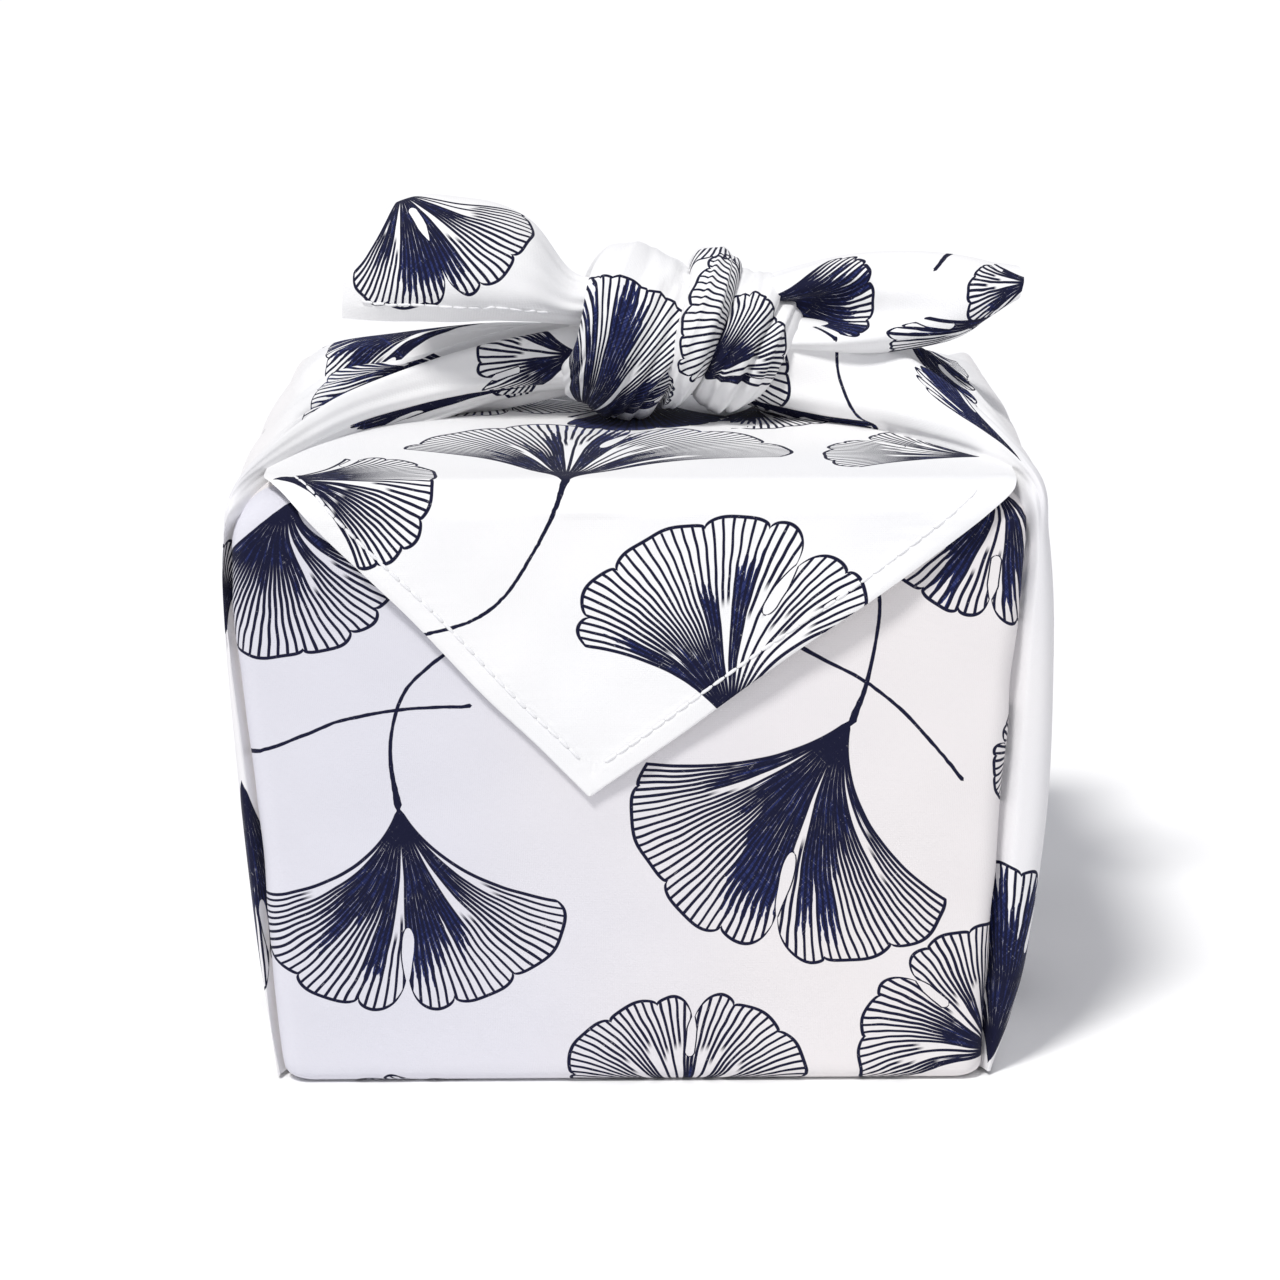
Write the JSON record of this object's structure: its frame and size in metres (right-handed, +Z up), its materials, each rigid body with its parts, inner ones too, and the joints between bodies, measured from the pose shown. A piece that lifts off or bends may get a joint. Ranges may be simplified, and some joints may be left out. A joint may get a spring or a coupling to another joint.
{
  "type": "furoshiki wrap",
  "caption": "Square printed cotton wrapping cloth folded over a box, with a flap hanging at the front and its corners tied in a knot on top.",
  "frame": {"origin": "middle of the flat underside, where the wrap rests", "axes": "+Z up, -Y towards the side with the hanging flap, +X to the right as seen from that side"},
  "size_m": [0.2045, 0.1847, 0.2073],
  "materials": {
    "printed_cotton": "matte plain-weave cotton, white with a dark blue ginkgo leaf print"
  },
  "bodies": {
    "root": {"cloth": "printed_cotton"}
  },
  "joints": []
}
